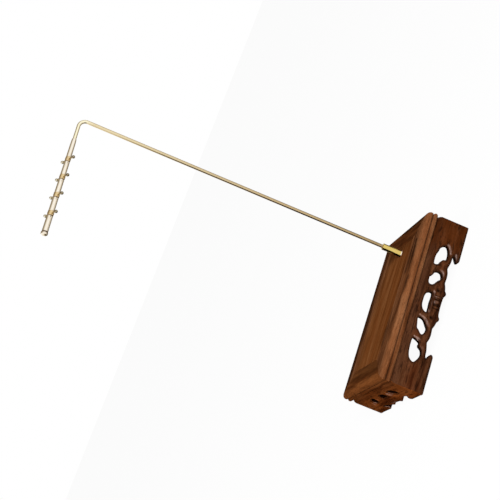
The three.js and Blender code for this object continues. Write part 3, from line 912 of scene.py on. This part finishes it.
        # Painted shade: under the moulding, at the soles, at the right end of the long sides and by the sawn
        # edges; none where the painted highlight lies.
        top, sole, end, crevice = (strength * bell(away, width) for away, (strength, width) in (
            (flat[:, 1] - self.apron_height + 3.2, self.dark_top), (flat[:, 1], self.dark_sole),
            (half_length - flat[:, 0], self.dark_end), (distance, self.dark_crevice)))
        crevice = np.clip(crevice - relief * 0.5 - 0.45, 0.0, 1.0) * low
        grime = np.maximum(crevice, top) + sole + end * side.is_long
        keep(mesh, "grime", np.clip(grime, 0.0, 1.0) * (1.0 - rim))
        dress(linked(f"{side.word}_apron_carved", mesh), finish, "base", f"{side.word}_apron", "dark_wood")

    def build(self) -> None:
        """Build and dress the whole tray."""
        rails = {True: Finishes.long_rail.material(), False: Finishes.short_rail.material()}
        aprons = {True: Finishes.long_apron.material(), False: Finishes.short_apron.material()}
        for side in Side:
            self.build_rail(side, rails[side.is_long])
            self.build_apron(side, aprons[side.is_long])
        repaint("panel", Finishes.panel.material())
        blocks = Finishes.blocks.material()
        for corner in ("front_left", "front_right", "rear_left", "rear_right"):
            repaint(f"corner_block_{corner}", blocks)


@dataclass(frozen=True)
class Post:
    """Brass ferrule and the bent rod that stands in it; foot and lip shape the ferrule's outside."""

    x: float = 55.0
    y: float = -5.0
    top: float = 43.7
    rod_radius: float = 1.7
    slip: float = 0.1
    ferrule_radius: float = 3.2
    ferrule_height: float = 20.0
    socket_depth: float = 18.0
    foot: tuple[Pair, ...] = ((0.25, 0.0), (0.36, 0.15), (0.3, 0.6), (0.05, 1.5), (0.0, 2.2))
    lip: float = 0.45
    spigot_radius: float = 2.5
    spigot_length: float = 6.0
    bend_radius: float = 6.5
    arm_height: float = 379.1
    droop: float = math.radians(5.9)
    reach: float = 35.4
    rod_end: float = 0.3
    around: int = 40

    def along(self) -> Vector:
        """Direction of the arm."""
        return Vector((-math.cos(self.droop), 0.0, -math.sin(self.droop)))

    def arm_top(self) -> Vector:
        """Where the arm's axis meets the post's, in millimetres."""
        return Vector((self.x, self.y, self.arm_height))

    def build_ferrule(self, finish: Material) -> None:
        """Turn the ferrule: spigot, shoulder, body with a rolled lip, and the socket down its middle."""
        bore = self.rod_radius + self.slip
        height, spigot = self.ferrule_height, self.spigot_length
        wall = (self.ferrule_radius - bore) / 2
        profile = np.concatenate([
            [[0.0, -spigot], [self.spigot_radius, -spigot], [self.spigot_radius, 0.0]],
            np.array(self.foot) + (self.ferrule_radius, 0.0),
            arc((bore + wall, height - wall * self.lip), (wall, wall * self.lip), 0.0, math.pi, 10),
            [[bore, height - self.socket_depth], [0.0, height - self.socket_depth]],
        ])
        place = Matrix.Translation(Vector((self.x, self.y, self.top)) * MM)
        # Painted highlight on the foot's lowest millimetre.
        worn = ((profile[:, 1] >= 0.0) & (profile[:, 1] < 1.0)).astype(float)
        turned("ferrule_turned", profile, place, finish, ("ferrule", "ferrule", "brass"), worn=worn)

    def build_rod(self, finish: Material) -> None:
        """Sweep a circle up the post, round the bend and along the arm.

        The path is the upright line, an arc of the bend's radius through a right angle and the droop, and the
        arm's line; each ring lies in the plane square to it. Smaller rings break the edges of the ends.
        """
        sweep = math.pi / 2 + self.droop
        setback = self.bend_radius * math.tan(sweep / 2)
        centre = np.array([self.x - self.bend_radius, self.y, self.arm_height - setback])
        out = np.insert(arc((0.0, 0.0), (1.0, 1.0), 0.0, sweep, 40), 1, 0.0, axis=1)
        low = self.top + self.ferrule_height - self.socket_depth
        post = [[self.x, self.y, low + self.rod_end], [self.x, self.y, 200.0]]
        arm = [self.arm_top() + self.along() * d for d in (self.reach * 0.6, self.reach - self.rod_end)]
        path = np.concatenate([post, centre + self.bend_radius * out, arm])
        outs = np.concatenate([out[[0, 0]], out, out[[-1, -1]]])
        turn = np.linspace(0.0, 2 * math.pi, self.around, endpoint=False)[None, :, None]
        ring = (outs[:, None, :] * np.cos(turn) - np.array([0.0, 1.0, 0.0]) * np.sin(turn)) * self.rod_radius
        first = path[:1, None, :] + ring[:1] * 0.75 - [0.0, 0.0, self.rod_end]
        last = path[-1:, None, :] + ring[-1:] * 0.75 + np.array(self.along()) * self.rod_end
        rings = np.concatenate([first, path[:, None, :] + ring, last])
        piece = skin("post_rod_drawn", rings[:, ::-1] * MM, rings[0].mean(0) * MM, rings[-1].mean(0) * MM)
        dress(piece, finish, "post", "post_rod", "brass")

    def build(self) -> None:
        """Build and dress the ferrule and the rod."""
        self.build_ferrule(Finishes.ferrule.material())
        self.build_rod(Finishes.rod.material())


@dataclass(frozen=True)
class PegArm:
    """Tapered sleeve on the arm, its domed cap and four pins with a ball on each end.

    node is the outline of the turned collar and ring groove at a pin: place along and change of radius.
    """

    post: Post
    bare_arm: float = 21.4
    length: float = 96.0
    neck_radius: float = 2.1
    root_radius: float = 2.35
    tip_radius: float = 3.0
    shoulder: float = 3.6
    engagement: float = 15.0
    cap_length: float = 4.1
    cap_radius: float = 3.35
    cap_groove: float = 0.5
    stem_radius: float = 1.0
    stem_length: float = 5.0
    tilt: float = math.radians(23.2)
    pitch: float = 18.7
    first: float = 21.9
    count: int = 4
    pin_radius: float = 0.65
    reach: float = 11.15
    ball_radius: float = 1.6
    play: float = 0.3
    node: tuple[Pair, ...] = (
        (-3.3, 0.0), (-2.9, -0.25), (-2.5, 0.08), (-0.4, 0.24), (1.7, 0.08), (2.1, -0.35), (2.5, 0.0))

    def place(self) -> Matrix:
        """Local frame to the scene, in metres: Z along the arm, Y out along the front pins."""
        along = self.post.along()
        level = Vector((0.0, -1.0, 0.0))
        upright = along.cross(level)
        if upright.z < 0:
            upright.negate()
        front = level * math.cos(self.tilt) - upright * math.sin(self.tilt)
        origin = (self.post.arm_top() + along * self.bare_arm) * MM
        basis = Matrix((front.cross(along), front, along)).transposed().to_4x4()
        return Matrix.Translation(origin) @ basis

    def stations(self) -> Array:
        """Distance of each pin from the sleeve's root."""
        return self.first + self.pitch * np.arange(self.count)

    def radius_at(self, height: Array) -> Array:
        """Radius of the sleeve: straight taper from root to tip, with the turned node at each pin."""
        share = (height - self.shoulder) / (self.length - self.shoulder)
        offsets, heights = np.array(self.node).T
        swell = sum(np.interp(height - station, offsets, heights) for station in self.stations())
        return self.root_radius + (self.tip_radius - self.root_radius) * share + swell

    def build_sleeve(self, finish: Material) -> None:
        """Turn the sleeve: bore, mouth, conical shoulder, taper with ring grooves, tip."""
        bore = self.post.rod_radius + self.post.slip
        height = np.linspace(self.shoulder, self.length - 0.25, 460)
        stem = self.stem_radius + self.play
        deep = self.length - self.stem_length - self.play
        profile = np.concatenate([
            [[0.0, self.engagement], [bore, self.engagement], [bore, 0.0], [self.neck_radius - 0.1, 0.0],
             [self.neck_radius, 0.12]],
            np.stack([self.radius_at(height), height], axis=-1),
            [[self.tip_radius - 0.2, self.length], [stem, self.length], [stem, deep], [0.0, deep]],
        ])
        along = profile[:, 1]
        collar, groove = -0.35, self.node[5][0]
        warm = sum(rise(np.abs(along - station - collar), 2.64, 2.04) for station in self.stations())
        # Painted shade in the ring grooves and at the sleeve's tip.
        grime = sum(bell(along - station - groove, 0.3) for station in self.stations())
        grime += rise(along, self.length - 0.5, self.length - 0.1)
        turned("arm_sleeve_turned", profile, self.place(), finish, ("arm", "arm_sleeve", "pale_brass"),
               warm=warm, grime=np.minimum(grime, 1.0))

    def build_cap(self, finish: Material) -> None:
        """Turn the cap: stem, rounded rim, short wall and an elliptical dome."""
        root = self.length + self.cap_groove
        straight = root + self.cap_length * 0.45
        dome = self.length + self.cap_length - straight
        profile = np.concatenate([
            [[0.0, self.length - self.stem_length], [self.stem_radius, self.length - self.stem_length],
             [self.stem_radius, root], [self.cap_radius - 0.3, root], [self.cap_radius, root + 0.3]],
            arc((0.0, straight), (self.cap_radius, dome), 0.0, math.pi / 2, 24)[:-1],
            [[0.0, straight + dome]],
        ])
        # Painted shade at the cap's root.
        turned("end_cap_domed", profile, self.place(), finish, ("arm", "end_cap", "pale_brass"), sharp=50.0,
               grime=rise(profile[:, 1], root + 0.5, root + 0.1))

    def build_pegs(self, pin_finish: Material, *ball_finishes: Material) -> None:
        """Turn each pin, and each ball as a sphere with the pin's socket in it; front balls come first."""
        end, radius, socket = self.reach - self.play, self.ball_radius, self.pin_radius + 0.1
        pin = np.array([[0.0, -end], [self.pin_radius, -end], [self.pin_radius, end], [0.0, end]])
        mouth = math.asin(socket / radius) - math.pi / 2
        round_part = arc((0.0, 0.0), (radius, radius), mouth, math.pi / 2, 28)
        ball = np.concatenate([[[0.0, 0.0], [socket, 0.0]], round_part[:-1], [[0.0, radius]]])
        quarter = Matrix.Rotation(-math.pi / 2, 4, "X")
        for index, station in enumerate(self.stations(), start=1):
            across = self.place() @ Matrix.Translation((0.0, 0.0, station * MM)) @ quarter
            solid = ("arm", f"peg_pin_{index}", "brass")
            turned(f"peg_pin_drawn_{index}", pin, across, pin_finish, solid, 24)
            for word, turn, finish in zip(("front", "rear"), (0.0, math.pi), ball_finishes):
                out = Matrix.Rotation(turn, 4, "X") @ Matrix.Translation((0.0, 0.0, self.reach * MM))
                turned(f"peg_ball_polished_{word}_{index}", ball, across @ out, finish,
                       ("arm", f"peg_ball_{word}_{index}", "pale_brass"), 40, 50.0)

    def build(self) -> None:
        """Build and dress the arm."""
        self.build_sleeve(Finishes.sleeve.material())
        self.build_cap(Finishes.cap.material())
        pegs = (Finishes.pins, Finishes.painted_shade_front_balls, Finishes.painted_light_rear_balls)
        self.build_pegs(*(finish.material() for finish in pegs))


class Finishes:
    """Every finish of the stand."""

    panel = WoodFinish(
        "panel wood", Grain.ALONG_TRAY, (0.205, 0.076, 0.024), (0.148, 0.046, 0.011), (0.080, 0.022, 0.005),
        (0.152, 0.040, 0.008), fleck=0.15, offset=(0.31, 0.07, 0.0), stains=(
            Stain((-0.064, -0.034), (-0.034, -0.0285), weight=0.55, broken=0.3),
            Stain((-0.035, 0.07), (-0.034, -0.0265), weight=0.6, broken=0.8, soft=0.004),
            Stain((-0.07, 0.07), (0.020, 0.040), (0.060, 0.020, 0.006), 0.45, 0.9, 0.006),
            Stain((0.054, 0.07), (-0.04, 0.05), (0.060, 0.020, 0.006), 0.6, 0.3, 0.008)))
    long_rail = WoodFinish(
        "long rail wood", Grain.ALONG_TRAY, (0.206, 0.084, 0.034), (0.117, 0.040, 0.014),
        (0.045, 0.014, 0.004), (0.124, 0.036, 0.010), offset=(0.0, 0.33, 0.12), stains=(
            Stain((0.026, 0.070), (-0.0385, -0.0325), (0.020, 0.007, 0.003), 0.85, 0.6, 0.0015),
            Stain((-0.010, 0.058), (-0.0470, -0.0415), (0.020, 0.007, 0.003), 0.85, 0.7, 0.0015),
            Stain((-0.085, -0.010), (-0.045, -0.030), (0.035, 0.012, 0.005), 0.75, 1.0),
            Stain((-0.09, 0.09), (0.038, 0.06), (0.022, 0.008, 0.003), 0.8, 0.7, 0.004)))
    # The short rails get a painted highlight on their rounded outer edges.
    short_rail = WoodFinish(
        "short rail wood", Grain.ACROSS_TRAY, (0.200, 0.066, 0.018), (0.112, 0.032, 0.008),
        (0.052, 0.013, 0.003), (0.115, 0.028, 0.005), figure=0.8, painted_highlight_share=0.45, offset=(0.14, 0.2, 0.0), stains=(
            Stain((-0.0805, -0.06), (-0.06, 0.06), (0.050, 0.019, 0.006), 0.6, 0.4),
            Stain((0.06, 0.0815), (-0.06, 0.06), (0.030, 0.010, 0.004), 0.6, 0.4),
            # Painted shade: a near-black band along the right rail's outer edge.
            Stain((0.0805, 0.09), (-0.06, 0.06), (0.010, 0.004, 0.002), 0.85, 0.2)))
    long_apron = WoodFinish(
        "long apron wood", Grain.ALONG_TRAY, (0.098, 0.037, 0.016), (0.051, 0.0165, 0.006),
        (0.014, 0.004, 0.002), (0.060, 0.0130, 0.003), fleck=0.7, offset=(0.11, 0.0, 0.4), carved=True,
        stains=(Stain((0.058, 0.09), (-0.06, 0.0), (0.062, 0.0135, 0.0015), 0.7, 0.3, 0.006),))
    short_apron = WoodFinish(
        "short apron wood", Grain.ACROSS_TRAY, (0.190, 0.056, 0.014), (0.128, 0.032, 0.006),
        (0.050, 0.010, 0.002), (0.130, 0.029, 0.004), figure=0.7, fleck=0.6, offset=(0.21, 0.52, 0.2),
        carved=True)
    blocks = WoodFinish(
        "glue block wood", Grain.UPRIGHT, (0.20, 0.10, 0.05), (0.13, 0.06, 0.03), (0.07, 0.03, 0.015),
        (0.14, 0.06, 0.025), 0.7)
    ferrule = BrassFinish("ferrule brass", (0.74, 0.56, 0.17), (0.52, 0.36, 0.09), 0.13)
    # Painted shade on the rod low down and a painted highlight on its bend.
    rod = BrassFinish("rod brass", (0.84, 0.71, 0.45), (0.54, 0.42, 0.23), 0.16, painted_low_shade=(0.53, 0.39, 0.21),
                      pale=(1.0, 0.93, 0.68), edge=(0.80, 0.64, 0.42))
    sleeve = BrassFinish("sleeve brass", (0.96, 0.88, 0.75), (0.70, 0.58, 0.42), 0.16, 60.0,
                         golden=(0.77, 0.59, 0.33))
    cap = BrassFinish("cap brass", (1.0, 0.91, 0.77), (0.72, 0.60, 0.44), 0.20)
    pins = BrassFinish("pin brass", (0.62, 0.47, 0.23), (0.34, 0.22, 0.09), 0.16)
    # The front balls are painted darker and the rear balls paler: painted shade and painted light on one
    # brass.
    painted_shade_front_balls = BrassFinish("front ball brass painted shade", (0.36, 0.30, 0.20), (0.24, 0.18, 0.10), 0.2)
    painted_light_rear_balls = BrassFinish("rear ball brass painted light", (0.84, 0.78, 0.62), (0.56, 0.48, 0.32), 0.2)


@dataclass(frozen=True)
class Card:
    """A card that only reflections show, and what it shines with at shares of its way up; in metres."""

    name: str
    corner: Triple
    across: Triple
    up: Triple
    tones: tuple[tuple[float, Colour], ...]

    def build(self) -> None:
        """Make the card, with its tones along its second side."""
        start, wide, tall = (np.array(step) for step in (self.corner, self.across, self.up))
        corners = np.array([start, start + wide, start + wide + tall, start + tall])
        card = as_piece(self.name, corners, [[0, 1, 2, 3]])
        material, graph = new_graph(f"{self.name} cloth")
        weave = graph.even_noise(40.0, 2.0)
        rate = tall / (tall @ tall)
        share = graph.vector("DOT_PRODUCT", graph.place(), tuple(rate), "Value") - float(start @ rate)
        shine = graph.ramp(share + (weave - 0.5) * 0.01, self.tones)
        graph.surface(Base_Color=(0.0, 0.0, 0.0, 1.0), Roughness=0.9, Specular_IOR_Level=0.0,
                      Emission_Color=shine, Emission_Strength=1.0)
        card.data.materials.append(material)
        card.visible_camera = card.visible_diffuse = card.visible_shadow = False


@dataclass(frozen=True)
class Studio:
    """White floor and surroundings, two soft lamps, and graded cards for the brass to reflect; in metres."""

    surroundings: float = 0.22
    floor_half: float = 6.0
    floor_white: float = 0.97
    floor_glow: float = 0.95
    aim: Triple = (0.0, 0.0, 0.12)
    lamps: tuple[tuple, ...] = (
        ("key lamp", (-1.5, -0.85, 2.0), 0.8, 22.0), ("front lamp", (-0.5, -2.3, 1.15), 1.4, 78.0))
    cards: tuple[Card, ...] = (
        Card("left card", (-0.30, -0.22, 0.0), (0.0, 1.20, 0.0), (0.0, 0.0, 0.45),
             ((0.07, UNLIT), (0.18, (0.015, 0.010, 0.005)), (0.33, (0.07, 0.05, 0.025)),
              (0.60, (0.14, 0.12, 0.07)), (0.72, (0.48, 0.43, 0.32)), (0.80, (0.85, 0.82, 0.75)))),
        Card("right card", (0.45, -0.15, 0.0), (0.0, 0.75, 0.0), (0.0, 0.0, 0.80),
             ((0.04, (0.05, 0.03, 0.02)), (0.12, (0.35, 0.3, 0.24)), (0.45, (0.5, 0.46, 0.4)))),
        Card("top card", (-0.25, -0.55, 0.75), (1.05, 0.0, 0.0), (0.0, 1.55, 0.0),
             ((0.0, (1.0, 1.0, 1.0)), (0.15, (0.75, 0.72, 0.66)), (0.33, (0.30, 0.25, 0.17)),
              (1.0, (0.22, 0.18, 0.12)))),
        Card("floor card", (-0.35, -0.55, 0.001), (0.95, 0.0, 0.0), (0.0, 1.80, 0.0),
             ((0.0, (0.93, 0.93, 0.93)), (0.10, (0.86, 0.83, 0.78)), (0.27, (0.44, 0.39, 0.30)),
              (0.36, (0.20, 0.17, 0.12)), (1.0, (0.25, 0.21, 0.16)))),
        Card("tray shade", (0.055, -0.005, 0.0440), (-0.138, -0.0586, 0.0), (0.0205, 0.0564, 0.0),
             ((0.0, UNLIT), (1.0, UNLIT))),
        Card("tray glow", (0.055, -0.005, 0.0440), (-0.101, -0.043, 0.0), (0.10, -0.047, 0.0),
             ((0.0, (0.95, 0.93, 0.88)), (1.0, (0.95, 0.95, 0.95)))))

    def build_world(self) -> None:
        """White to the camera and in reflections, an even light otherwise."""
        world = bpy.data.worlds.new("surroundings")
        world.use_nodes = True
        bpy.context.scene.world = world
        graph = Graph(world.node_tree)
        level = graph.seen() * (1.0 - self.surroundings) + self.surroundings
        shader = graph.node("ShaderNodeBackground", {}, {"Color": (1.0, 1.0, 1.0, 1.0), "Strength": level})
        graph.node("ShaderNodeOutputWorld", {}, {"Surface": shader.outputs[0]})

    def build_floor(self) -> None:
        """A wide white floor that takes the stand's soft shadow."""
        corners = self.floor_half * np.array([[-1, -1, 0], [1, -1, 0], [1, 1, 0], [-1, 1, 0]])
        floor = as_piece("floor", corners, [[0, 1, 2, 3]])
        material, graph = new_graph("floor white")
        speckle = graph.even_noise(3.0, 2.0)
        colour = graph.blend((self.floor_white,) * 3, (self.floor_white - 0.01,) * 3, speckle)
        lit = graph.node("ShaderNodeBsdfPrincipled", {}, {"Base Color": colour, "Roughness": 0.9})
        glow = graph.node("ShaderNodeEmission", {}, {"Color": (1.0, 1.0, 1.0, 1.0), "Strength": 1.0})
        shader = graph.node("ShaderNodeMixShader", {}, {
            0: graph.seen() * self.floor_glow, 1: lit.outputs[0], 2: glow.outputs[0]})
        graph.node("ShaderNodeOutputMaterial", {}, {"Surface": shader.outputs[0]})
        floor.data.materials.append(material)

    def add_lamp(self, name: str, place: Triple, size: float, power: float) -> None:
        """A square lamp that looks at the stand's middle and shows in no reflection."""
        light = bpy.data.lights.new(name, "AREA")
        light.shape = "SQUARE"
        light.size = size
        light.energy = power
        lamp = linked(name, light)
        lamp.visible_glossy = False
        turn = (Vector(self.aim) - Vector(place)).to_track_quat("-Z", "Y").to_matrix().to_4x4()
        lamp.matrix_world = Matrix.Translation(place) @ turn

    def build(self) -> None:
        """Build the floor, the surroundings, the lamps and the cards."""
        self.build_world()
        self.build_floor()
        for lamp in self.lamps:
            self.add_lamp(*lamp)
        for card in self.cards:
            card.build()


@dataclass(frozen=True)
class PhotoCamera:
    """Camera at the photograph's place; the picture is turned on its side, and so is the camera."""

    place: Triple = (-0.36965, -0.92601, 0.30061)
    right: Triple = (0.92903, -0.36990, 0.00825)
    up: Triple = (0.03508, 0.11027, 0.99329)
    picture_turn: float = math.radians(68)
    picture_pixels: float = 500.0
    focal_pixels: float = 1055.85
    sensor_width: float = 36.0

    def build(self) -> None:
        """Make the camera and look through it."""
        lens = bpy.data.cameras.new("photo camera")
        lens.sensor_width = self.sensor_width
        lens.lens = self.focal_pixels * self.sensor_width / self.picture_pixels
        lens.clip_start = 0.01
        lens.clip_end = 50.0
        cos, sin = math.cos(self.picture_turn), math.sin(self.picture_turn)
        right, up = Vector(self.right), Vector(self.up)
        across = (right * cos - up * sin).normalized()
        back = across.cross(right * sin + up * cos).normalized()
        camera = linked("photo camera", lens)
        turn = Matrix((across, back.cross(across), back)).transposed().to_4x4()
        camera.matrix_world = Matrix.Translation(self.place) @ turn
        bpy.context.scene.camera = camera


def main() -> None:
    """Build the camera, the studio and the stand, and log the face count of each piece built."""
    logging.basicConfig(level=logging.INFO, format="%(name)s: %(message)s")
    bpy.context.scene.view_settings.view_transform = "Standard"
    PhotoCamera().build()
    Studio().build()
    Tray().build()
    post = Post()
    post.build()
    PegArm(post).build()


if __name__ == "__main__":
    main()
